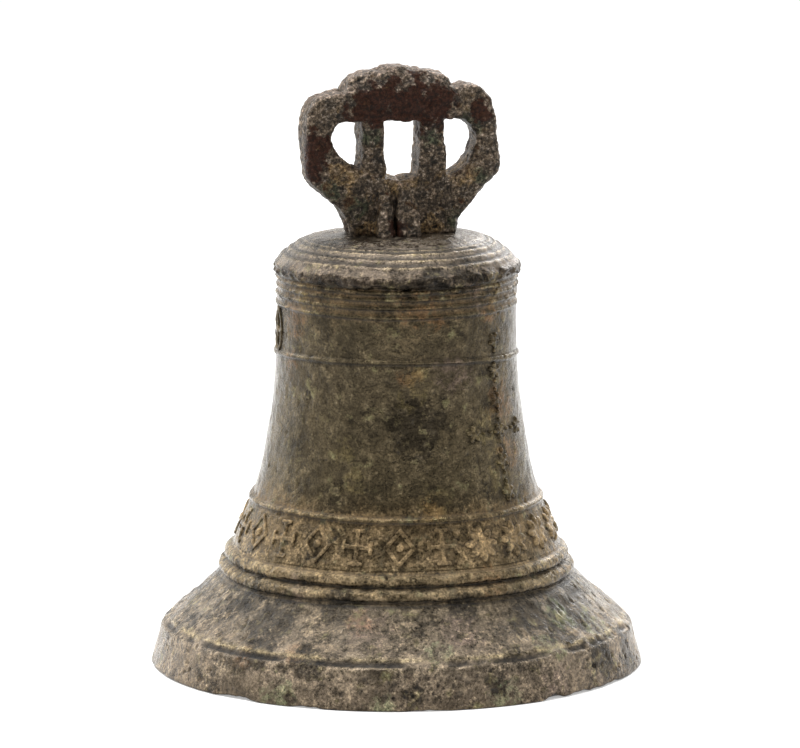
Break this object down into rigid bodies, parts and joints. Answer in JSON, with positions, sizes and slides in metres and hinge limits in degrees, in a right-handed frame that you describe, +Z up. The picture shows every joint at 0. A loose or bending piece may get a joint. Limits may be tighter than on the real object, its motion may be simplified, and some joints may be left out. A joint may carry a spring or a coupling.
{
  "type": "church bell",
  "caption": "Small cast-bronze bell with flared lip, relief band, openwork crown with three windows, and an iron clapper hung on a riveted leather loop.",
  "frame": {"origin": "centre of the mouth, in the plane of the lip that the bell stands on", "axes": "+Z up along the bell's axis, +X along the flat crown, -Y is the front"},
  "size_m": [0.24, 0.24, 0.2904],
  "materials": {
    "bronze": "rough sand-cast bell bronze, dark olive-brown patina with ochre dirt in the mouldings",
    "relief_bronze": "worn cast relief, tan dirt and rubbed tops",
    "crown_bronze": "very rough cast bronze, red-brown top with green corrosion and ochre in the hollows",
    "wrought_iron": "hammered wrought iron with dry rust",
    "leather": "old dark harness leather, cracked and waxed",
    "copper": "hand-set copper rivets and burrs, dull brown"
  },
  "bodies": {
    "bell": {"bell_body": "bronze", "band_ornament": "relief_bronze", "waist_cross": "relief_bronze", "waist_plaque": "relief_bronze", "crown_base": "crown_bronze", "crown_head": "crown_bronze", "left_canon": "crown_bronze", "right_canon": "crown_bronze", "left_post": "crown_bronze", "right_post": "crown_bronze", "sprue_stub": "crown_bronze", "clapper_staple": "wrought_iron"},
    "baldric": {"baldric_strap": "leather", "baldric_rivets": "copper", "rivet_burrs": "copper"},
    "clapper": {"clapper_shank": "wrought_iron", "clapper_ball": "wrought_iron"}
  },
  "joints": [
    {"name": "baldric_swing", "type": "hinge", "parent": "bell", "child": "baldric", "pos_m": [0, 0, 0.176], "axis": [1, 0, 0], "range_deg": [-12, 12]},
    {"name": "clapper_swing", "type": "hinge", "parent": "baldric", "child": "clapper", "pos_m": [0, 0, 0.148], "axis": [1, 0, 0], "range_deg": [-14.5, 14.5]}
  ]
}
